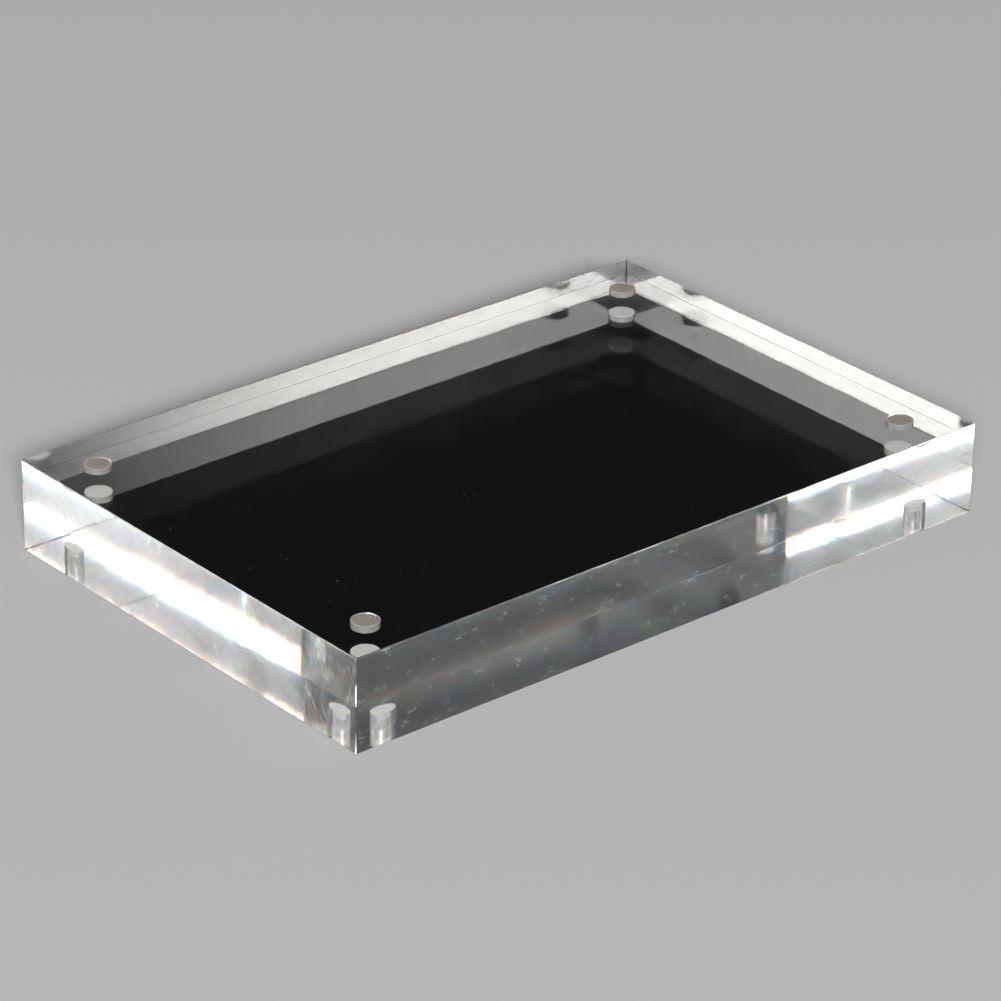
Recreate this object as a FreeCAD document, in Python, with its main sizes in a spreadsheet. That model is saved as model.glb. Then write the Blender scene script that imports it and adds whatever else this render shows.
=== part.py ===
import FreeCAD, Part
import os
import Sketcher

# A clear acrylic block frame for a 4 by 6 inch print, lying flat as in the photograph.
# Two equal panels of thick acrylic lie face to face, and the print goes between them.
# Each panel has four blind bores near its corners, and a nickel-plated disc magnet is
# bonded into each bore, just under the panel's face. The bores of the lower panel open
# downwards. The upper panel is the same panel turned over, so its bores open upwards.
# X runs along the long side, Y along the short side and Z up. The origin is the middle of
# the face that the frame lies on. Lengths are in millimetres.

# Each driving dimension: its name, its size and what it is.
SIZES = (
    ("frame_width", 152.4, "long side of the block, six inches"),
    ("frame_depth", 101.6, "short side of the block, four inches"),
    ("panel_thickness", 9.525, "one panel, three eighths of an inch"),
    ("seam_gap", 0.05, "film of air between the two panels"),
    ("edge_break", 0.2, "bevel on the edges of a panel"),
    ("magnet_inset", 10.35, "from the sides of the block to a magnet's axis"),
    ("magnet_diameter", 5.0, "disc magnet"),
    ("magnet_thickness", 2.0, "disc magnet"),
    ("magnet_rounding", 0.2, "radius of a magnet's plated rims"),
    ("magnet_recess", 0.06, "from a panel's outer face down to its magnets"),
    ("bond_ring", 0.2, "adhesive around a magnet"),
    ("bond_floor", 1.2, "adhesive behind a magnet"),
)

# What follows from them.
SHEET = "sizes"
BLOCK_HEIGHT = "2 * sizes.panel_thickness + sizes.seam_gap"
MAGNET_RADIUS = "sizes.magnet_diameter / 2"
BORE_RADIUS = "sizes.magnet_diameter / 2 + sizes.bond_ring"
MAGNET_SEAT = "sizes.magnet_recess + sizes.magnet_thickness"
BORE_DEPTH = "sizes.magnet_recess + sizes.magnet_thickness + sizes.bond_floor"
REACH_X = "(sizes.frame_width / 2 - sizes.magnet_inset)"
REACH_Y = "(sizes.frame_depth / 2 - sizes.magnet_inset)"

# The corners of the block, with the side of the origin that each is on in X and in Y.
CORNERS = (
    ("near_left", -1, -1),
    ("near_right", 1, -1),
    ("far_left", -1, 1),
    ("far_right", 1, 1),
)

# The two panels, and whether each lies turned over, with its outer face up.
LEVELS = (("lower", False), ("upper", True))

MIDDLE = FreeCAD.Vector()
X_AXIS = FreeCAD.Vector(1, 0, 0)
Z_AXIS = FreeCAD.Vector(0, 0, 1)
AS_MADE = FreeCAD.Rotation()
TURNED_OVER = FreeCAD.Rotation(X_AXIS, 180)


def make_sheet(doc):
    """Writes the driving dimensions into a spreadsheet, one named row each."""
    sheet = doc.addObject("Spreadsheet::Sheet", SHEET)
    for row, (alias, number, meaning) in enumerate(SIZES, start=1):
        sheet.set(f"A{row}", alias)
        sheet.set(f"B{row}", str(number))
        sheet.set(f"C{row}", meaning)
        sheet.setAlias(f"B{row}", alias)
    doc.recompute()


def value(doc, expression):
    """The length that an expression gives, which a sketch is first drawn with."""
    return float(doc.getObject(SHEET).evalExpression(expression))


def new_body(doc, label):
    body = doc.addObject("PartDesign::Body", label)
    body.Label = label
    return body


def new_sketch(body, name, plane):
    """An empty sketch on one of the body's own origin planes."""
    sketch = body.newObject("Sketcher::SketchObject", name)
    support = next(f for f in body.Origin.OriginFeatures if f.Role == plane)
    sketch.AttachmentSupport = [(support, "")]
    sketch.MapMode = "FlatFace"
    return sketch


def bind(sketch, name, constraint, expression):
    """Adds a dimension to a sketch and ties it to the spreadsheet."""
    index = sketch.addConstraint(constraint)
    sketch.renameConstraint(index, name)
    sketch.setExpression(f"Constraints.{name}", expression)


def draw_outline(sketch, points):
    """A closed outline of level and upright lines, one from each point to the next."""
    ends = points[1:] + points[:1]
    count = len(points)
    for (x1, y1), (x2, y2) in zip(points, ends):
        line = Part.LineSegment(FreeCAD.Vector(x1, y1, 0), FreeCAD.Vector(x2, y2, 0))
        index = sketch.addGeometry(line)
        direction = "Horizontal" if y1 == y2 else "Vertical"
        sketch.addConstraint(Sketcher.Constraint(direction, index))
    for index in range(count):
        following = (index + 1) % count
        sketch.addConstraint(Sketcher.Constraint("Coincident", index, 2, following, 1))


def place_at_corner(body, side_x, side_y):
    """Moves a magnet or its adhesive to the axis of a corner's bore."""
    body.setExpression("Placement.Base.x", f"{side_x} * {REACH_X}")
    body.setExpression("Placement.Base.y", f"{side_y} * {REACH_Y}")


def turn_over(body, turned):
    """Leaves a body with its outer face down, or turns it over onto the block's top."""
    body.Placement = FreeCAD.Placement(MIDDLE, TURNED_OVER if turned else AS_MADE)
    if turned:
        body.setExpression("Placement.Base.z", BLOCK_HEIGHT)


def add_slab(doc, body):
    """The plain slab of a panel, centred on the origin and standing on it."""
    width = value(doc, "sizes.frame_width")
    depth = value(doc, "sizes.frame_depth")
    left, right = -width / 2, width / 2
    near, far = -depth / 2, depth / 2
    outline = new_sketch(body, f"{body.Label}_outline", "XY_Plane")
    draw_outline(outline, [(left, near), (right, near), (right, far), (left, far)])
    outline.addConstraint(Sketcher.Constraint("Symmetric", 0, 1, 2, 1, -1, 1))
    across = Sketcher.Constraint("DistanceX", 0, 1, 0, 2, width)
    along = Sketcher.Constraint("DistanceY", 1, 1, 1, 2, depth)
    bind(outline, "width", across, "sizes.frame_width")
    bind(outline, "depth", along, "sizes.frame_depth")
    slab = body.newObject("PartDesign::Pad", f"{body.Label}_slab")
    slab.Profile = outline
    slab.setExpression("Length", "sizes.panel_thickness")
    doc.recompute()
    return slab


def add_bevel(doc, body, slab):
    """Breaks every edge of the slab."""
    bevel = body.newObject("PartDesign::Chamfer", f"{body.Label}_bevel")
    edges = [f"Edge{number}" for number in range(1, len(slab.Shape.Edges) + 1)]
    bevel.Base = (slab, edges)
    bevel.setExpression("Size", "sizes.edge_break")
    doc.recompute()
    return bevel


def add_bores(doc, body):
    """A blind bore near each corner, in from the panel's outer face."""
    radius = value(doc, BORE_RADIUS)
    circles = new_sketch(body, f"{body.Label}_bore_circles", "XY_Plane")
    for name, side_x, side_y in CORNERS:
        x = side_x * value(doc, REACH_X)
        y = side_y * value(doc, REACH_Y)
        circle = circles.addGeometry(Part.Circle(FreeCAD.Vector(x, y, 0), Z_AXIS, radius))
        size = Sketcher.Constraint("Radius", circle, radius)
        across = Sketcher.Constraint("DistanceX", -1, 1, circle, 3, x)
        along = Sketcher.Constraint("DistanceY", -1, 1, circle, 3, y)
        bind(circles, f"radius_{name}", size, BORE_RADIUS)
        bind(circles, f"x_{name}", across, f"{side_x} * {REACH_X}")
        bind(circles, f"y_{name}", along, f"{side_y} * {REACH_Y}")
    bores = body.newObject("PartDesign::Pocket", f"{body.Label}_bores")
    bores.Profile = circles
    bores.Reversed = True
    bores.setExpression("Length", BORE_DEPTH)
    doc.recompute()
    return bores


def make_panel(doc, label, turned):
    """One clear acrylic panel: a slab with broken edges and four blind bores."""
    body = new_body(doc, label)
    slab = add_slab(doc, body)
    bevel = add_bevel(doc, body, slab)
    bores = add_bores(doc, body)
    if not bores.Shape.Volume < bevel.Shape.Volume < slab.Shape.Volume:
        raise RuntimeError(f"{label} lost its bevel or its bores")
    body.Tip = bores
    turn_over(body, turned)
    return body


def make_magnet(doc, label, side_x, side_y, turned):
    """A plated disc magnet with rounded rims, its outer face just inside the bore."""
    body = new_body(doc, label)
    radius = value(doc, MAGNET_RADIUS)
    outline = new_sketch(body, f"{label}_outline", "XY_Plane")
    outline.setExpression("AttachmentOffset.Base.z", "sizes.magnet_recess")
    circle = outline.addGeometry(Part.Circle(MIDDLE, Z_AXIS, radius))
    outline.addConstraint(Sketcher.Constraint("Coincident", circle, 3, -1, 1))
    size = Sketcher.Constraint("Radius", circle, radius)
    bind(outline, "radius", size, MAGNET_RADIUS)
    disc = body.newObject("PartDesign::Pad", f"{label}_disc")
    disc.Profile = outline
    disc.setExpression("Length", "sizes.magnet_thickness")
    doc.recompute()
    rims = [
        f"Edge{number}"
        for number, edge in enumerate(disc.Shape.Edges, start=1)
        if isinstance(edge.Curve, Part.Circle)
    ]
    rounding = body.newObject("PartDesign::Fillet", f"{label}_rounding")
    rounding.Base = (disc, rims)
    rounding.setExpression("Radius", "sizes.magnet_rounding")
    body.Tip = rounding
    turn_over(body, turned)
    place_at_corner(body, side_x, side_y)
    return body


def make_adhesive(doc, label, side_x, side_y, turned):
    """The cup of set adhesive that fills a bore around and behind its magnet."""
    body = new_body(doc, label)
    inner = value(doc, MAGNET_RADIUS)
    outer = value(doc, BORE_RADIUS)
    mouth = value(doc, "sizes.magnet_recess")
    seat = value(doc, MAGNET_SEAT)
    end = value(doc, BORE_DEPTH)
    profile = new_sketch(body, f"{label}_profile", "XZ_Plane")
    points = [
        (inner, mouth),
        (outer, mouth),
        (outer, end),
        (0, end),
        (0, seat),
        (inner, seat),
    ]
    draw_outline(profile, points)
    profile.addConstraint(Sketcher.Constraint("PointOnObject", 3, 1, -2))
    to_inner = Sketcher.Constraint("DistanceX", -1, 1, 0, 1, inner)
    to_outer = Sketcher.Constraint("DistanceX", -1, 1, 1, 1, outer)
    to_mouth = Sketcher.Constraint("DistanceY", -1, 1, 0, 1, mouth)
    to_seat = Sketcher.Constraint("DistanceY", -1, 1, 4, 1, seat)
    to_end = Sketcher.Constraint("DistanceY", -1, 1, 2, 1, end)
    bind(profile, "inner", to_inner, MAGNET_RADIUS)
    bind(profile, "outer", to_outer, BORE_RADIUS)
    bind(profile, "mouth", to_mouth, "sizes.magnet_recess")
    bind(profile, "seat", to_seat, MAGNET_SEAT)
    bind(profile, "end", to_end, BORE_DEPTH)
    cup = body.newObject("PartDesign::Revolution", f"{label}_cup")
    cup.Profile = profile
    cup.ReferenceAxis = (profile, ["V_Axis"])
    cup.Angle = 360
    body.Tip = cup
    turn_over(body, turned)
    place_at_corner(body, side_x, side_y)
    return body


def make_block(doc):
    """Every piece of the frame: two panels, each with its magnets and their adhesive."""
    bodies = []
    for level, turned in LEVELS:
        bodies.append(make_panel(doc, f"{level}_panel", turned))
        for corner, side_x, side_y in CORNERS:
            where = (side_x, side_y, turned)
            bodies.append(make_magnet(doc, f"{level}_magnet_{corner}", *where))
            bodies.append(make_adhesive(doc, f"{level}_adhesive_{corner}", *where))
    doc.recompute()
    return bodies


def check(doc, bodies):
    """Stops if a feature failed, or if a piece isn't one sound solid."""
    for item in doc.Objects:
        if "Invalid" in item.State or "Error" in item.State:
            raise RuntimeError(f"{item.Label} failed: {item.State}")
    for body in bodies:
        shape = body.Shape
        if shape.isNull() or not shape.isValid() or len(shape.Solids) != 1:
            raise RuntimeError(f"{body.Label} is not one valid solid")


def export(bodies):
    """Writes each piece to a file of its own and prints its size."""
    os.makedirs("parts", exist_ok=True)
    for body in bodies:
        body.Shape.exportStep(f"parts/{body.Label}.step")
        box = body.Shape.optimalBoundingBox()
        print(
            f"{body.Label}: {box.XLength:.3f} x {box.YLength:.3f} x {box.ZLength:.3f} mm,"
            f" from z {box.ZMin:.3f}, volume {body.Shape.Volume:.1f} mm3"
        )


document = FreeCAD.newDocument("acrylic_block_frame")
make_sheet(document)
pieces = make_block(document)
check(document, pieces)
export(pieces)
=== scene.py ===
import math

import bmesh
import bpy
from mathutils import Matrix, Vector


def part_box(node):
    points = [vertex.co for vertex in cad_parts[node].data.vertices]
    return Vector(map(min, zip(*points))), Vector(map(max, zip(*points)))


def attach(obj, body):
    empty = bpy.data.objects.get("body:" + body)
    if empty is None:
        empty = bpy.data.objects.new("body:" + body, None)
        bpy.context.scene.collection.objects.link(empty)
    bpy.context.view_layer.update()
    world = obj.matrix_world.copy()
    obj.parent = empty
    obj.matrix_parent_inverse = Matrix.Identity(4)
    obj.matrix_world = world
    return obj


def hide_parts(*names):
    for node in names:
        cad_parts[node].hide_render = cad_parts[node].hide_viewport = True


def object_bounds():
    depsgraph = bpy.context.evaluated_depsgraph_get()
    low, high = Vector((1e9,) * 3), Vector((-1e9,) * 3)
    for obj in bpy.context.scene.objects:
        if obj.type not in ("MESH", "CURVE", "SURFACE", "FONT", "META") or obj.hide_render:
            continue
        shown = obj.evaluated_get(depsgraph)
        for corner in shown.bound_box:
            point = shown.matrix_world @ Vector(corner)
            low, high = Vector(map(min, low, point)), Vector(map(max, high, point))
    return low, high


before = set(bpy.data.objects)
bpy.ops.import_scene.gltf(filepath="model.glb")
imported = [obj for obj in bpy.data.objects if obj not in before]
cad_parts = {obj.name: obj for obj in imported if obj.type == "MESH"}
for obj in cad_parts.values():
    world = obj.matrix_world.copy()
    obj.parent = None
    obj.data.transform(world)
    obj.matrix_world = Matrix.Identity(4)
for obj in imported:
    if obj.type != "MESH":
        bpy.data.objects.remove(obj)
cad_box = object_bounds()

# The looks of a clear acrylic block frame: two thick panels laid face to face, each with
# four nickel-plated magnets bonded into frosted bores. Everything is in metres.

MM = 0.001

HALVES = ("lower", "upper")
CORNERS = ("near_left", "near_right", "far_left", "far_right")

# The order of the panels' materials.
FACE, SEAM, NEAR_SIDE, FAR_SIDE, EDGE, BORE = range(6)

SEAM_HEIGHT = (cad_box[0].z + cad_box[1].z) / 2

# Clearances that keep clear surfaces from lying in the same place.
FIT_GAP = 0.015 * MM
FLOOR_GAP = 0.1 * MM

# How finely round shapes are divided.
BORE_STEPS = 96
EDGE_STEPS = 3
CORNER_STEPS = 5

# What the boxes of the solids don't give of the panels' shape: how far each kind of edge is
# rounded, and the flat round each bore.
OUTER_ROUND = 0.22 * MM
SEAM_ROUND = 0.015 * MM
UPRIGHT_ROUND = 0.25 * MM
PATCH_MARGIN = 1.5 * MM
FLAT_REACH = 1.0 * MM

# A face whose normal follows an axis this closely is flat, and an edge over this angle stays
# sharp.
FLAT_NORMAL = 0.999
SHARP_ANGLE = math.radians(40)

# The photographed panels taper a little: their seam rises towards the far right corner by
# this much over half the block's width and half its depth.
SEAM_RISE_WIDTH = 0.17 * MM
SEAM_RISE_DEPTH = 0.2 * MM

# Cast acrylic, and how differently the sides bend red, green and blue light into the block.
ACRYLIC_IOR = 1.49
COLOUR_IORS = {(1, 0, 0, 1): 1.4865, (0, 1, 0, 1): 1.49, (0, 0, 1, 1): 1.4935}

# How rough the clear surfaces are. The sides also scatter a share of the light more broadly.
POLISHED = 0.0
BUFFED = 0.05
SOFT_EDGE = 0.08
NEAR_SCATTER = 0.1
FROSTED = 0.2
FAR_SCATTER = 0.3

# The colours of the haze and scatter, of the painted shade on the uprights and of the bores' walls.
WHITE_HAZE = (0.93, 0.92, 0.9, 1)
COOL_HAZE = (0.84, 0.92, 1.0, 1)
COOL_SCATTER = (0.76, 0.87, 1.0, 1)
SHADED_UPRIGHT = (0.06, 0.065, 0.075, 1)
GREY_FROST = (0.34, 0.34, 0.33, 1)

# The nickel plating, at its darkest and lightest, on the magnets' walls and flat ends. The walls
# are coloured far darker than the ends as painted shade.
SHADED_WALL_DARK = (0.1, 0.1, 0.09, 1)
SHADED_WALL_LIGHT = (0.5, 0.48, 0.45, 1)
DISC_DARK = (0.62, 0.58, 0.5, 1)
DISC_LIGHT = (0.76, 0.72, 0.65, 1)

# How much each kind of mark hides of what is under it.
SPECK_SHARE = 0.5
WIPE_SHARE = 0.2
SCRATCH_SHARE = 0.42
# The share of the uprights that the dark veil of painted shade hides.
UPRIGHT_SHADE_SHARE = 0.95
MIRROR_SHARE = 0.8
END_SHARE = 0.92

# How level a surface is where a wall stops and where a flat end starts.
WALL_LEVEL = 0.3
END_LEVEL = 0.8

# The sizes of the saw's grooves and of the cloudy patches, along X, Y and Z.
GROOVE_SIZE = (4 * MM, 4 * MM, 0.02 * MM)
CLOUD_SIZE = (8 * MM, 8 * MM, 5 * MM)

# The distances from the seam over which nicks thin out, and the heights over each panel's foot
# between which its uprights turn from clear to a dark veil of painted shade.
NICKS_FULL_TO = 0.3 * MM
NICKS_THIN_FROM = 4.0 * MM
CLEAR_FOOT = 3.0 * MM
SHADE_FROM = 5.0 * MM

# The value that noise varies round.
NOISE_MIDDLE = 0.5

# The pale floor, and the dim light from all round.
FLOOR_COLOUR = (0.88, 0.88, 0.88, 1)
FLOOR_REACH = 6.0
WORLD_LEVEL = 0.02

# The boxes to the far left and the far right, slightly warm white: each one's name, azimuth
# and elevation in degrees, width and height, and radiance.
SIDE_BOXES = (
    ("left_box", (-49, 25), (0.8, 0.6), 5.0),
    ("right_box", (133.0, 27), (0.52, 0.5), 4.0),
)
SIDE_BOX_DISTANCE = 0.9
SIDE_BOX_SOFT_FROM = 0.3
SIDE_BOX_COLOUR = (1.0, 0.98, 0.95)

# The key, behind the camera.
KEY_BEARING = (219, 24.5)
KEY_DISTANCE = 8.0
KEY_SIZE = (2.6, 0.8)
KEY_RADIANCE = 116.0

# The camera, found from the block's corners in the photograph.
CAMERA_AZIMUTH = math.radians(-40.35)
CAMERA_ELEVATION = math.radians(26.37)
CAMERA_ROLL = math.radians(0.71)
CAMERA_DISTANCE = 876.0 * MM
CAMERA_RIGHT = -0.38 * MM
CAMERA_UP = 5.78 * MM
CAMERA_LENS = 163.69
SENSOR_WIDTH = 36.0

# How often light may turn on its way, in all and at clear or shiny surfaces alone.
MOST_BOUNCES = 32
CLEAR_BOUNCES = 24


# Meshes

def make_object(name, mesh_data, materials):
    """An object of a bmesh, which it frees, with its material slots filled in order."""
    mesh = bpy.data.meshes.new(name)
    mesh_data.to_mesh(mesh)
    mesh_data.free()
    for material in materials:
        mesh.materials.append(material)
    piece = bpy.data.objects.new(name, mesh)
    bpy.context.scene.collection.objects.link(piece)
    return piece


def circle_points(centre, radius, steps, z):
    """Points round an upright axis, starting halfway between +X and +Y."""
    points = []
    for step in range(steps):
        angle = math.pi / 4 + 2 * math.pi * step / steps
        x = centre.x + radius * math.cos(angle)
        y = centre.y + radius * math.sin(angle)
        points.append(Vector((x, y, z)))
    return points


def add_bore(mesh_data, corners, centre, radius, mouth_z, end_z):
    """Fills a square of a panel's face round a bore, and makes the bore's wall and end."""
    mouth = [mesh_data.verts.new(p) for p in circle_points(centre, radius, BORE_STEPS, mouth_z)]
    end = [mesh_data.verts.new(p) for p in circle_points(centre, radius, BORE_STEPS, end_z)]
    quarter = BORE_STEPS // 4
    for side in range(4):
        arc = [mouth[(side * quarter + i) % BORE_STEPS] for i in range(quarter + 1)]
        mesh_data.faces.new([corners[(side + 1) % 4], corners[side], *arc])
    walls = []
    for step in range(BORE_STEPS):
        following = (step + 1) % BORE_STEPS
        ring = (mouth[step], mouth[following], end[following], end[step])
        walls.append(mesh_data.faces.new(ring))
    walls.append(mesh_data.faces.new(end))
    for ring in (mouth, end):
        for step in range(BORE_STEPS):
            mesh_data.edges.get((ring[step - 1], ring[step])).smooth = False
    return walls


def add_ring(mesh_data, low, high, inset, z):
    """The corner points of the panel's outline at a height, counterclockwise from +X."""
    turn = UPRIGHT_ROUND - inset
    ring = []
    for quarter, (across, along) in enumerate(((1, 1), (-1, 1), (-1, -1), (1, -1))):
        x = (high.x if across > 0 else low.x) - across * UPRIGHT_ROUND
        y = (high.y if along > 0 else low.y) - along * UPRIGHT_ROUND
        for step in range(CORNER_STEPS + 1):
            angle = math.pi / 2 * (quarter + step / CORNER_STEPS)
            point = (x + turn * math.cos(angle), y + turn * math.sin(angle), z)
            ring.append(mesh_data.verts.new(point))
    return ring


def add_open_slab(mesh_data, low, high, outer_z, seam_z, inward):
    """A panel with rounded edges and no outer face. Returns the rim of that face."""
    angles = [math.pi / 2 * step / EDGE_STEPS for step in range(EDGE_STEPS + 1)]
    levels = []
    for angle in angles:
        inset = OUTER_ROUND * (1 - math.sin(angle))
        levels.append((inset, outer_z + inward * OUTER_ROUND * (1 - math.cos(angle))))
    for angle in angles:
        inset = SEAM_ROUND * (1 - math.cos(angle))
        levels.append((inset, seam_z - inward * SEAM_ROUND * (1 - math.sin(angle))))
    rings = [add_ring(mesh_data, low, high, inset, z) for inset, z in levels]
    for ring, following_ring in zip(rings, rings[1:]):
        for i in range(len(ring)):
            mesh_data.faces.new((ring[i - 1], ring[i], following_ring[i], following_ring[i - 1]))
    mesh_data.faces.new(rings[-1])
    return rings[0]


def add_pierced_face(mesh_data, rim, centres, patch, radius, end_z):
    """Fills a panel's rim with a grid of flat faces and a bored patch round each centre."""
    steps = len(rim) // 4
    arcs = [rim[i * steps : (i + 1) * steps] for i in range(4)]
    outer_z = rim[0].co.z
    xs = {arcs[0][-1].co.x, arcs[1][0].co.x} | {c.x + s * patch for c in centres for s in (-1, 1)}
    ys = {arcs[0][0].co.y, arcs[2][0].co.y} | {c.y + s * patch for c in centres for s in (-1, 1)}
    xs, ys = sorted(xs), sorted(ys)
    grid = {(x, y): mesh_data.verts.new((x, y, outer_z)) for x in xs for y in ys}
    walls = []
    for x1, x2 in zip(xs, xs[1:]):
        for y1, y2 in zip(ys, ys[1:]):
            corners = [grid[x2, y2], grid[x1, y2], grid[x1, y1], grid[x2, y1]]
            bored = [c for c in centres if x1 < c.x < x2 and y1 < c.y < y2]
            if bored:
                walls += add_bore(mesh_data, corners, bored[0], radius, outer_z, end_z)
            else:
                mesh_data.faces.new(corners)
    borders = (
        [grid[x, ys[-1]] for x in reversed(xs)],
        [grid[xs[0], y] for y in reversed(ys)],
        [grid[x, ys[0]] for x in xs],
        [grid[xs[-1], y] for y in ys],
    )
    for i, border in enumerate(borders):
        mesh_data.faces.new([border[0], *arcs[i]])
        mesh_data.faces.new([*reversed(border), arcs[i][-1], arcs[(i + 1) % 4][0]])
    return walls


def tilt_seam(mesh_data, seam_z, half_size):
    """Gives the panel the slight taper of the photographed one."""
    for vertex in mesh_data.verts:
        if abs(vertex.co.z - seam_z) < FLAT_REACH:
            across = vertex.co.x / half_size.x
            along = vertex.co.y / half_size.y
            vertex.co.z += SEAM_RISE_WIDTH * across + SEAM_RISE_DEPTH * along


def choose_panel_materials(mesh_data, walls, seam_z):
    """Sets each face's material by where it lies and which way it looks."""
    bored = set(walls)
    for face in mesh_data.faces:
        if face in bored:
            face.material_index = BORE
            # A face of the bore's round wall has four corners, and its flat end has many.
            face.smooth = len(face.verts) == 4
        elif abs(face.normal.z) > FLAT_NORMAL:
            at_seam = abs(face.calc_center_median().z - seam_z) < FLAT_REACH
            face.material_index = SEAM if at_seam else FACE
        elif max(abs(face.normal.x), abs(face.normal.y)) > FLAT_NORMAL:
            near = min(face.normal.x, face.normal.y) < -FLAT_NORMAL
            face.material_index = NEAR_SIDE if near else FAR_SIDE
        else:
            face.material_index = EDGE


def make_panel(half, materials):
    """A clear panel with rounded edges and four blind bores, in place of its CAD solid."""
    low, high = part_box(f"{half}_panel")
    outer_z, seam_z, inward = (low.z, high.z, 1) if half == "lower" else (high.z, low.z, -1)
    boxes = [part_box(f"{half}_adhesive_{corner}") for corner in CORNERS]
    centres = [(a + b) / 2 for a, b in boxes]
    radius = (boxes[0][1].x - boxes[0][0].x) / 2
    depth = max(abs(z - outer_z) for a, b in boxes for z in (a.z, b.z))
    mesh_data = bmesh.new()
    rim = add_open_slab(mesh_data, low, high, outer_z, seam_z, inward)
    end_z = outer_z + inward * depth
    walls = add_pierced_face(mesh_data, rim, centres, radius + PATCH_MARGIN, radius, end_z)
    tilt_seam(mesh_data, seam_z, high)
    bmesh.ops.recalc_face_normals(mesh_data, faces=mesh_data.faces[:])
    choose_panel_materials(mesh_data, walls, seam_z)
    panel = make_object(f"{half}_clear_panel", mesh_data, materials)
    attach(panel, f"{half}_half")
    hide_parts(f"{half}_panel")


def add_lathe(mesh_data, centre, profile, steps):
    """Turns a closed profile of radii and heights round an upright axis."""
    rings = []
    for radius, z in profile:
        if radius > 0:
            points = circle_points(centre, radius, steps, z)
            rings.append([mesh_data.verts.new(p) for p in points])
        else:
            rings.append([mesh_data.verts.new((centre.x, centre.y, z))] * steps)
    for ring, following_ring in zip(rings, rings[1:] + rings[:1]):
        for step in range(steps):
            following = (step + 1) % steps
            corners = (ring[step], ring[following], following_ring[following], following_ring[step])
            corners = list(dict.fromkeys(corners))
            if len(corners) > 2:
                face = mesh_data.faces.new(corners)
                face.smooth = True


def make_adhesive(half, corner, material):
    """The cup of set adhesive round and behind a magnet, with a hollow brim at the mouth."""
    low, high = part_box(f"{half}_adhesive_{corner}")
    magnet_low, magnet_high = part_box(f"{half}_magnet_{corner}")
    outer = (high.x - low.x) / 2 - FIT_GAP
    inner = (magnet_high.x - magnet_low.x) / 2 + FIT_GAP
    if half == "lower":
        mouth, end, seat, inward = low.z, high.z, magnet_high.z, 1
    else:
        mouth, end, seat, inward = high.z, low.z, magnet_low.z, -1
    # The brim sags by a third of its width.
    sag = inward * (outer - inner) / 3
    profile = (
        (inner, mouth),
        ((inner + outer) / 2, mouth + sag),
        (outer, mouth),
        (outer, end - inward * FIT_GAP),
        (0, end - inward * FIT_GAP),
        (0, seat + inward * FIT_GAP),
        (inner, seat + inward * FIT_GAP),
    )
    mesh_data = bmesh.new()
    add_lathe(mesh_data, (low + high) / 2, profile, BORE_STEPS)
    bmesh.ops.recalc_face_normals(mesh_data, faces=mesh_data.faces[:])
    cup = make_object(f"{half}_adhesive_cup_{corner}", mesh_data, [material])
    cup.data.set_sharp_from_angle(angle=SHARP_ANGLE)
    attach(cup, f"{half}_half")
    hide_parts(f"{half}_adhesive_{corner}")


# Materials

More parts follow.
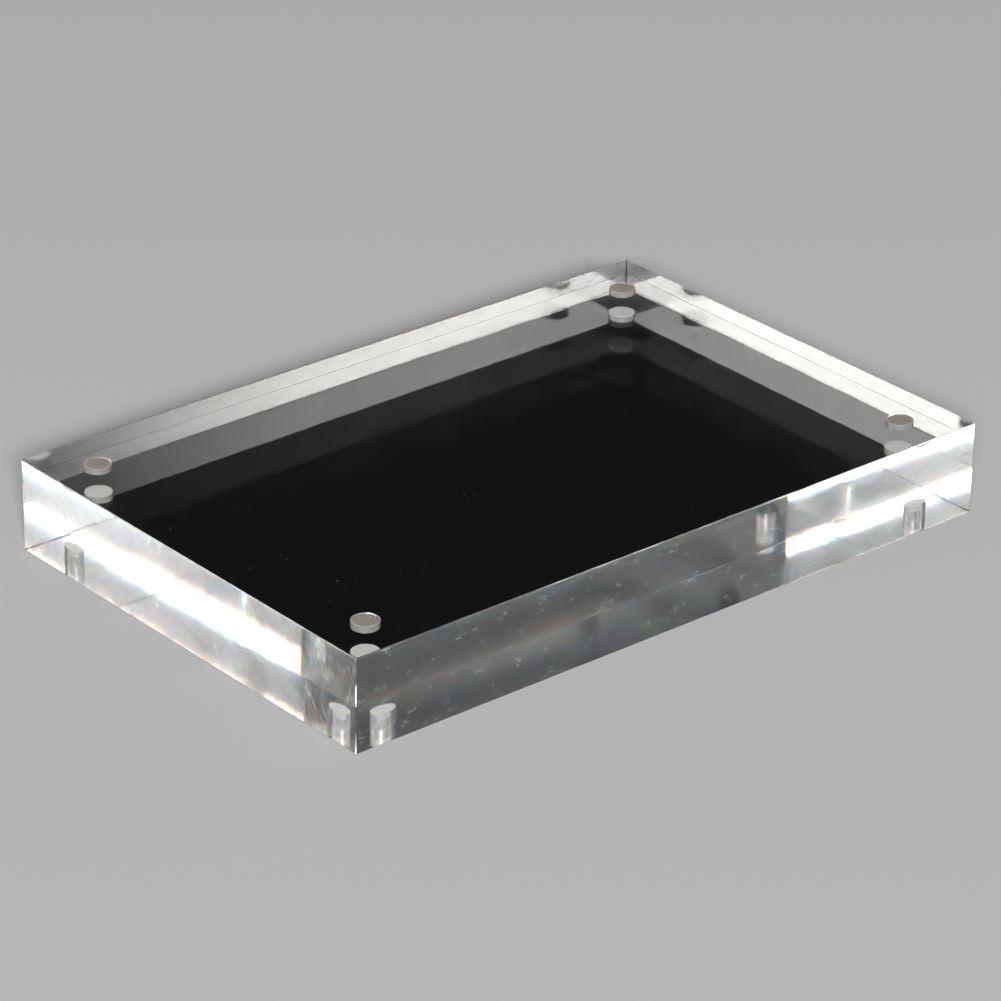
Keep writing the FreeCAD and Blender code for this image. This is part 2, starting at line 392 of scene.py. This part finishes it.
class Nodes:
    """A material's node tree, with short calls to add and join nodes."""

    def __init__(self, name):
        self.material = bpy.data.materials.new(name)
        self.material.use_nodes = True
        self.tree = self.material.node_tree
        self.tree.nodes.clear()
        self.output = self.tree.nodes.new("ShaderNodeOutputMaterial")

    def add(self, kind, inputs=None, **settings):
        """Adds a node; its inputs are numbers, colours or other nodes' sockets."""
        node = self.tree.nodes.new(kind)
        for name, setting in settings.items():
            setattr(node, name, setting)
        for name, source in (inputs or {}).items():
            socket = node.inputs[name]
            if isinstance(source, bpy.types.NodeSocket):
                self.tree.links.new(source, socket)
            else:
                socket.default_value = source
        return node

    def surface(self, shader):
        self.tree.links.new(shader, self.output.inputs["Surface"])
        return self.material

    def mix(self, share, first, second):
        return self.add("ShaderNodeMixShader", {0: share, 1: first, 2: second}).outputs[0]

    def join(self, first, second):
        return self.add("ShaderNodeAddShader", {0: first, 1: second}).outputs[0]

    def blend(self, share, first, second):
        """A colour between two others."""
        inputs = {"Fac": share, "Color1": first, "Color2": second}
        return self.add("ShaderNodeMixRGB", inputs).outputs[0]

    def math(self, operation, first, second=0.0):
        return self.add("ShaderNodeMath", {0: first, 1: second}, operation=operation).outputs[0]

    def plus(self, first, second):
        return self.math("ADD", first, second)

    def minus(self, first, second):
        return self.math("SUBTRACT", first, second)

    def times(self, first, second):
        return self.math("MULTIPLY", first, second)

    def larger(self, first, second):
        return self.math("MAXIMUM", first, second)

    def absolute(self, value):
        return self.math("ABSOLUTE", value)

    def rising(self, share, start, gain):
        """A value that is the start for a share of 0, and that plus the gain for one of 1."""
        return self.plus(self.times(share, gain), start)

    def span(self, source, low, high, to_low=0.0, to_high=1.0):
        """Takes a source from low to high smoothly over to two other values."""
        inputs = {
            "Value": source,
            "From Min": low,
            "From Max": high,
            "To Min": to_low,
            "To Max": to_high,
        }
        node = self.add("ShaderNodeMapRange", inputs, interpolation_type="SMOOTHSTEP")
        return node.outputs[0]

    def part_of(self, vector, axis):
        return self.add("ShaderNodeSeparateXYZ", {0: vector}).outputs[axis]

    def geometry(self, output):
        """What the surface gives: its normal, or whether the light leaves the piece there."""
        return self.add("ShaderNodeNewGeometry").outputs[output]

    def own_place(self):
        """Coordinates on the piece, which stay with it as it moves."""
        return self.add("ShaderNodeTexCoord").outputs["Object"]

    def height(self):
        return self.part_of(self.own_place(), "Z")

    def level(self):
        """How level the surface lies, from 0 for a wall to 1 for a flat end."""
        return self.absolute(self.part_of(self.geometry("Normal"), "Z"))

    def grain_place(self, grain, turn):
        """Coordinates on the piece in units of a grain's length along X, Y and Z."""
        turned = self.add(
            "ShaderNodeMapping",
            {"Vector": self.own_place(), "Rotation": [math.radians(a) for a in turn]},
        )
        scale = {"Vector": turned.outputs[0], "Scale": [1 / length for length in grain]}
        return self.add("ShaderNodeMapping", scale).outputs[0]

    def noise(self, grain, detail=2.0, turn=(0, 0, 0)):
        """Smooth noise whose grain has the given lengths, from about 0.2 to 0.8."""
        inputs = {"Vector": self.grain_place(grain, turn), "Scale": 1.0, "Detail": detail}
        return self.add("ShaderNodeTexNoise", inputs).outputs["Fac"]

    def patches(self, grain, low, high, to_low=0.0, to_high=1.0, detail=2.0, turn=(0, 0, 0)):
        """Noise spread out: one value where it is below low, another where it is above high."""
        return self.span(self.noise(grain, detail, turn), low, high, to_low, to_high)

    def lines(self, grain, width, turn=(0, 0, 0)):
        """Thin winding lines, where smooth noise passes its middle."""
        offset = self.absolute(self.minus(self.noise(grain, turn=turn), NOISE_MIDDLE))
        return self.span(offset, 0.0, width, to_low=1.0, to_high=0.0)

    def grooved(self, grain, slope):
        """The surface's normal, tipped up and down by fine level grooves."""
        tip = self.times(self.minus(self.noise(grain), NOISE_MIDDLE), slope)
        tipped = self.add("ShaderNodeCombineXYZ", {"Z": tip}).outputs[0]
        total = self.add(
            "ShaderNodeVectorMath", {0: self.geometry("Normal"), 1: tipped}, operation="ADD"
        )
        unit = self.add("ShaderNodeVectorMath", {0: total.outputs[0]}, operation="NORMALIZE")
        return unit.outputs[0]

    def glass(self, roughness, normal=None, colour=(1, 1, 1, 1)):
        inputs = {
            "Base Color": colour,
            "Roughness": roughness,
            "IOR": ACRYLIC_IOR,
            "Transmission Weight": 1.0,
        }
        if normal:
            inputs["Normal"] = normal
        return self.add("ShaderNodeBsdfPrincipled", inputs).outputs[0]

    def prism(self, roughness, normal):
        """Glass that bends each colour by its own amount, which fringes what is seen in it."""
        bent = [
            self.add(
                "ShaderNodeBsdfRefraction",
                {"Color": colour, "Roughness": roughness, "IOR": ior, "Normal": normal},
            ).outputs[0]
            for colour, ior in COLOUR_IORS.items()
        ]
        bent = self.join(self.join(bent[0], bent[1]), bent[2])
        shine = self.add("ShaderNodeBsdfAnisotropic", {"Roughness": roughness, "Normal": normal})
        share = self.add("ShaderNodeFresnel", {"IOR": ACRYLIC_IOR, "Normal": normal})
        return self.mix(share.outputs[0], bent, shine.outputs[0])

    def clear(self):
        return self.add("ShaderNodeBsdfTransparent").outputs[0]

    def diffuse(self, colour):
        return self.add("ShaderNodeBsdfDiffuse", {"Color": colour}).outputs[0]

    def veil(self, colour):
        """A thin haze that lamps light from either side."""
        back = self.add("ShaderNodeBsdfTranslucent", {"Color": colour}).outputs[0]
        return self.mix(0.5, self.diffuse(colour), back)

    def let_light_out(self, shader):
        """Lets lamps light what is inside the block, but not what lies in its shadow."""
        path = self.add("ShaderNodeLightPath").outputs["Is Shadow Ray"]
        return self.mix(self.times(path, self.geometry("Backfacing")), shader, self.clear())

    def let_light_through(self, shader):
        """Lets lamps light what is on either side of a surface inside the block."""
        path = self.add("ShaderNodeLightPath").outputs["Is Shadow Ray"]
        return self.mix(path, shader, self.clear())


def mark_size(across, upright):
    """The lengths of a mark along X, Y and Z, from two in millimetres."""
    return (across * MM, across * MM, upright * MM)


def face_acrylic():
    """The large polished faces, with a few specks of dust."""
    nodes = Nodes("acrylic_faces")
    dust = nodes.lines(mark_size(0.5, 0.5), width=0.02)
    thinned = nodes.patches(mark_size(0.9, 0.9), 0.68, 0.72, detail=1.0, turn=(0, 0, 30))
    patches = nodes.patches(mark_size(11, 11), 0.58, 0.66, detail=1.0, turn=(0, 0, 15))
    specks = nodes.times(nodes.times(dust, thinned), patches)
    hidden = nodes.times(specks, SPECK_SHARE)
    surface = nodes.mix(hidden, nodes.glass(POLISHED), nodes.veil(WHITE_HAZE))
    return nodes.surface(nodes.let_light_out(surface))


def seam_acrylic():
    """The polished faces that lie against each other."""
    nodes = Nodes("acrylic_seam")
    return nodes.surface(nodes.let_light_through(nodes.glass(POLISHED)))


def side_wipes(nodes, short):
    """How much of the short near side a buffing cloth has left white."""
    patches = nodes.patches(mark_size(9, 6), 0.3, 0.65, turn=(0, 0, 40))
    wipes = nodes.patches(mark_size(0.8, 8), 0.4, 0.72, turn=(32, -24, 0))
    smears = nodes.patches(mark_size(1.2, 9), 0.5, 0.75, detail=3.0, turn=(-16, 10, 0))
    wiped = nodes.times(nodes.plus(wipes, smears), patches)
    return nodes.times(wiped, nodes.times(short, WIPE_SHARE))


def side_scratches(nodes, short):
    """The share of the long near side that is scratched, most of all beside the seam."""
    from_seam = nodes.absolute(nodes.minus(nodes.height(), SEAM_HEIGHT))
    by_seam = nodes.span(from_seam, NICKS_FULL_TO, NICKS_THIN_FROM, to_low=1.0, to_high=0.2)
    places = nodes.patches(mark_size(2.5, 1.5), 0.58, 0.66, turn=(0, 0, 20))
    nicks = nodes.lines(mark_size(0.8, 0.4), width=0.025, turn=(10, 14, 0))
    nicks = nodes.times(nicks, nodes.times(places, by_seam))
    dashes = nodes.patches(mark_size(0.9, 0.1), 0.68, 0.76, detail=0.0, turn=(0, 9, 0))
    spots = nodes.patches(mark_size(4, 2), 0.56, 0.66, detail=1.0, turn=(0, 0, 70))
    scratched = nodes.plus(nicks, nodes.times(dashes, spots))
    hidden = nodes.span(short, 0.0, 1.0, to_low=SCRATCH_SHARE, to_high=0.0)
    return nodes.math("MINIMUM", nodes.times(scratched, hidden), 1.0)


def near_side_acrylic():
    """A side by the camera: cut, which leaves fine level grooves, then buffed and wiped."""
    nodes = Nodes("acrylic_near_sides")
    clouds = nodes.patches(CLOUD_SIZE, 0.35, 0.7, detail=4.0)
    grooves = nodes.grooved(GROOVE_SIZE, slope=0.1)
    steep_grooves = nodes.grooved(GROOVE_SIZE, slope=1.0)
    leaving = nodes.geometry("Backfacing")
    smooth = nodes.mix(leaving, nodes.prism(BUFFED, grooves), nodes.glass(BUFFED, grooves))
    scatter = nodes.rising(clouds, start=0.14, gain=0.06)
    short = nodes.absolute(nodes.part_of(nodes.geometry("Normal"), "X"))
    polish = nodes.mix(scatter, smooth, nodes.glass(NEAR_SCATTER, steep_grooves, COOL_SCATTER))
    haze = nodes.rising(clouds, start=side_scratches(nodes, short), gain=0.03)
    surface = nodes.mix(haze, polish, nodes.veil(COOL_HAZE))
    surface = nodes.mix(side_wipes(nodes, short), surface, nodes.diffuse(WHITE_HAZE))
    return nodes.surface(nodes.let_light_out(surface))


def far_side_acrylic():
    """A side away from the camera, cut and buffed alike but cleaner."""
    nodes = Nodes("acrylic_far_sides")
    clouds = nodes.patches(CLOUD_SIZE, 0.35, 0.7, detail=4.0)
    grooves = nodes.grooved(GROOVE_SIZE, slope=0.1)
    scatter = nodes.rising(clouds, start=0.25, gain=0.02)
    polish = nodes.mix(scatter, nodes.glass(BUFFED, grooves), nodes.glass(FAR_SCATTER))
    haze = nodes.rising(clouds, start=0.008, gain=0.01)
    surface = nodes.mix(haze, polish, nodes.veil(COOL_HAZE))
    return nodes.surface(nodes.let_light_out(surface))


def edge_acrylic():
    """The rounded edges, hazier than the sides, with painted shade, a dark veil, on the uprights
    above each foot.
    """
    nodes = Nodes("acrylic_edges")
    haze = nodes.patches(mark_size(3, 3), 0.3, 0.7, to_low=0.04, to_high=0.16, detail=3.0)
    from_foot = nodes.math("MODULO", nodes.height(), SEAM_HEIGHT)
    upright = nodes.span(nodes.level(), 0.0, 0.05, to_low=1.0, to_high=0.0)
    # Painted shade: a dark veil over the uprights above each foot, not wear.
    painted_shade = nodes.times(nodes.span(from_foot, CLEAR_FOOT, SHADE_FROM), upright)
    painted_shade = nodes.times(painted_shade, UPRIGHT_SHADE_SHARE)
    polish = nodes.mix(painted_shade, nodes.glass(SOFT_EDGE), nodes.veil(SHADED_UPRIGHT))
    surface = nodes.mix(haze, polish, nodes.veil(WHITE_HAZE))
    return nodes.surface(nodes.let_light_out(surface))


def bore_acrylic():
    """A frosted bore: the magnet shows through its streaked grey wall, and its end is white."""
    nodes = Nodes("acrylic_bores")
    level = nodes.level()
    tone = nodes.blend(nodes.span(level, WALL_LEVEL, END_LEVEL), GREY_FROST, WHITE_HAZE)
    streaks = nodes.patches(mark_size(0.4, 4), 0.35, 0.7, to_low=0.2, to_high=0.45, detail=3.0)
    mirror = nodes.add("ShaderNodeFresnel", {"IOR": ACRYLIC_IOR}).outputs[0]
    frost = nodes.larger(streaks, nodes.times(mirror, MIRROR_SHARE))
    frost = nodes.larger(frost, nodes.times(level, END_SHARE))
    surface = nodes.mix(frost, nodes.glass(FROSTED), nodes.diffuse(tone))
    return nodes.surface(nodes.let_light_through(surface))


def nickel():
    """Satin nickel plating: streaked on the magnet's wall, which is coloured darker than its ends
    as painted shade, and smoother and grimy on its ends.
    """
    nodes = Nodes("nickel_plating")
    streaks = nodes.patches(mark_size(0.3, 4), 0.35, 0.65, detail=3.0)
    grime = nodes.patches(mark_size(0.8, 0.8), 0.3, 0.7, detail=4.0)
    level = nodes.level()
    # The wall's streaks vary at random, but its colour being darker than the ends' is painted
    # shade.
    wall = nodes.blend(streaks, SHADED_WALL_DARK, SHADED_WALL_LIGHT)
    disc = nodes.blend(grime, DISC_DARK, DISC_LIGHT)
    inputs = {
        "Base Color": nodes.blend(nodes.span(level, WALL_LEVEL, END_LEVEL), wall, disc),
        "Metallic": 0.5,
        "Roughness": nodes.span(level, WALL_LEVEL, END_LEVEL, to_low=0.75, to_high=0.35),
    }
    return nodes.surface(nodes.add("ShaderNodeBsdfPrincipled", inputs).outputs[0])


def set_adhesive():
    """Cloudy set adhesive, nearly white where it lies level."""
    nodes = Nodes("set_adhesive")
    clouds = nodes.patches(mark_size(0.5, 2), 0.3, 0.7, to_low=0.05, to_high=0.25, detail=3.0)
    white = nodes.span(nodes.level(), 0.2, 0.7, to_low=0.0, to_high=END_SHARE)
    hidden = nodes.larger(clouds, white)
    return nodes.surface(nodes.mix(hidden, nodes.clear(), nodes.veil(WHITE_HAZE)))


# The set

def aim(azimuth, elevation):
    """The direction that a bearing in degrees names: 0 is +Y and 90 is +X."""
    around, above = math.radians(azimuth), math.radians(elevation)
    level = math.cos(above)
    return Vector((math.sin(around) * level, math.cos(around) * level, math.sin(above)))


def soften(lamp, soft_from):
    """Lets a softbox fade from a share of its half size out to its rim."""
    # A softbox is one unit wide and high in the coordinates on it.
    half_size = 0.5
    lamp.use_nodes = True
    tree = lamp.node_tree
    place = tree.nodes.new("ShaderNodeNewGeometry").outputs["Parametric"]
    reach = tree.nodes.new("ShaderNodeVectorMath")
    reach.operation = "DISTANCE"
    reach.inputs[1].default_value = (half_size, half_size, 0)
    fade = tree.nodes.new("ShaderNodeMapRange")
    fade.interpolation_type = "SMOOTHSTEP"
    fade.inputs["From Min"].default_value = half_size * soft_from
    fade.inputs["From Max"].default_value = half_size
    fade.inputs["To Min"].default_value = 1
    fade.inputs["To Max"].default_value = 0
    tree.links.new(place, reach.inputs[0])
    tree.links.new(reach.outputs["Value"], fade.inputs["Value"])
    tree.links.new(fade.outputs[0], tree.nodes["Emission"].inputs["Strength"])


def add_softbox(name, bearing, distance, size, radiance, soft_from=1, colour=(1, 1, 1)):
    """A rectangular lamp that faces the origin from an azimuth and elevation in degrees."""
    width, height = size
    lamp = bpy.data.lights.new(name, "AREA")
    lamp.shape = "RECTANGLE"
    lamp.color = colour
    lamp.size = width
    lamp.size_y = height
    lamp.energy = radiance * math.pi * width * height
    if soft_from < 1:
        soften(lamp, soft_from)
    light = bpy.data.objects.new(name, lamp)
    towards = aim(*bearing)
    light.location = towards * distance
    light.rotation_euler = towards.to_track_quat("Z", "Y").to_euler()
    bpy.context.scene.collection.objects.link(light)
    return light


def keep_off(light, staged):
    """Keeps a lamp's light off the floor, which the key alone lights, so its shadow stays."""
    skipped = bpy.data.collections.new(f"{light.name}_skips")
    skipped.objects.link(staged)
    light.light_linking.receiver_collection = skipped
    skipped.collection_objects[0].light_linking.link_state = "EXCLUDE"


def add_floor():
    """A matt floor just under the block."""
    nodes = Nodes("floor_paint")
    inputs = {"Base Color": FLOOR_COLOUR, "Roughness": 0.9, "Specular IOR Level": 0.0}
    material = nodes.surface(nodes.add("ShaderNodeBsdfPrincipled", inputs).outputs[0])
    mesh_data = bmesh.new()
    bmesh.ops.create_grid(mesh_data, x_segments=1, y_segments=1, size=FLOOR_REACH)
    floor = make_object("floor", mesh_data, [material])
    floor.location.z = cad_box[0].z - FLOOR_GAP
    return floor


def add_world():
    """A dim white light from all round."""
    world = bpy.data.worlds.new("studio")
    world.use_nodes = True
    background = world.node_tree.nodes["Background"]
    background.inputs["Color"].default_value = (1, 1, 1, 1)
    background.inputs["Strength"].default_value = WORLD_LEVEL
    bpy.context.scene.world = world


def add_camera():
    """Stands the camera where the photograph's stood, rolled and shifted a little."""
    back = Vector(
        (
            math.sin(CAMERA_AZIMUTH) * math.cos(CAMERA_ELEVATION),
            -math.cos(CAMERA_AZIMUTH) * math.cos(CAMERA_ELEVATION),
            math.sin(CAMERA_ELEVATION),
        )
    )
    right = (-back).cross(Vector((0, 0, 1))).normalized()
    up = right.cross(-back)
    turn = Matrix.Rotation(CAMERA_ROLL, 3, back)
    right, up = turn @ right, turn @ up
    lens = bpy.data.cameras.new("camera")
    lens.lens = CAMERA_LENS
    lens.sensor_width = SENSOR_WIDTH
    camera = bpy.data.objects.new("camera", lens)
    axes = Matrix((right, up, back)).transposed()
    place = back * CAMERA_DISTANCE + right * CAMERA_RIGHT + up * CAMERA_UP
    camera.matrix_world = Matrix.Translation(place) @ axes.to_4x4()
    bpy.context.scene.collection.objects.link(camera)
    bpy.context.scene.camera = camera


def set_render_paths():
    """Lets light turn often enough to cross the block, and leaves caustics out."""
    scene = bpy.context.scene
    scene.view_settings.view_transform = "Standard"
    scene.cycles.max_bounces = MOST_BOUNCES
    scene.cycles.glossy_bounces = CLEAR_BOUNCES
    scene.cycles.transmission_bounces = CLEAR_BOUNCES
    scene.cycles.transparent_max_bounces = CLEAR_BOUNCES
    scene.cycles.caustics_reflective = False
    scene.cycles.caustics_refractive = False


acrylic = [
    face_acrylic(),
    seam_acrylic(),
    near_side_acrylic(),
    far_side_acrylic(),
    edge_acrylic(),
    bore_acrylic(),
]
plating = nickel()
glue = set_adhesive()
for half in HALVES:
    make_panel(half, acrylic)
    for corner in CORNERS:
        make_adhesive(half, corner, glue)
        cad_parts[f"{half}_magnet_{corner}"].data.materials[0] = plating

floor = add_floor()
add_world()
for name, bearing, size, radiance in SIDE_BOXES:
    box = add_softbox(
        name, bearing, SIDE_BOX_DISTANCE, size, radiance, SIDE_BOX_SOFT_FROM, SIDE_BOX_COLOUR
    )
    keep_off(box, floor)
    # The polished faces would mirror the boxes as plain white.
    box.visible_glossy = False
key = add_softbox("key_box", KEY_BEARING, KEY_DISTANCE, KEY_SIZE, KEY_RADIANCE)
# The key isn't seen through the clear block.
key.visible_transmission = False
add_camera()
set_render_paths()
